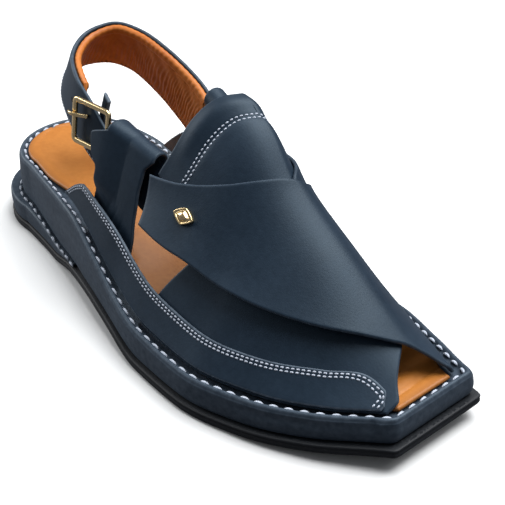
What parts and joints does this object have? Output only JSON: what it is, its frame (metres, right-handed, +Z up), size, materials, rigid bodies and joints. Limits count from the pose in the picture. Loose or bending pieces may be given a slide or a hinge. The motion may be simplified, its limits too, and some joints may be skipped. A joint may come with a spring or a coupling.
{
  "type": "peshawari chappal",
  "caption": "Right leather sandal with crossed straps over an instep tongue, an open square toe, a buckled heel strap and a heeled, stitched platform sole.",
  "frame": {"origin": "on the floor under the middle of the whole shoe", "axes": "+X from heel to toe, +Y to the wearer's left, which is the inner side of this right shoe, +Z up"},
  "size_m": [0.283, 0.107, 0.1041],
  "materials": {
    "navy_leather": "matte, fine grained",
    "tan_leather": "satin, creased",
    "tread_rubber": "matte",
    "gold_metal": "polished pale gold plating"
  },
  "bodies": {
    "root": {"outsole": "tread_rubber", "heel_lift": "navy_leather", "midsole": "navy_leather", "insole": "tan_leather", "upper": "navy_leather", "strip_lateral": "navy_leather", "strip_medial": "navy_leather", "quarter_lateral": "navy_leather", "quarter_medial": "navy_leather", "heel_strap": "navy_leather", "heel_strap_lining": "tan_leather", "buckle_frame": "gold_metal", "buckle_prong": "gold_metal", "buckle_chape": "navy_leather", "stud": "gold_metal"}
  },
  "joints": []
}
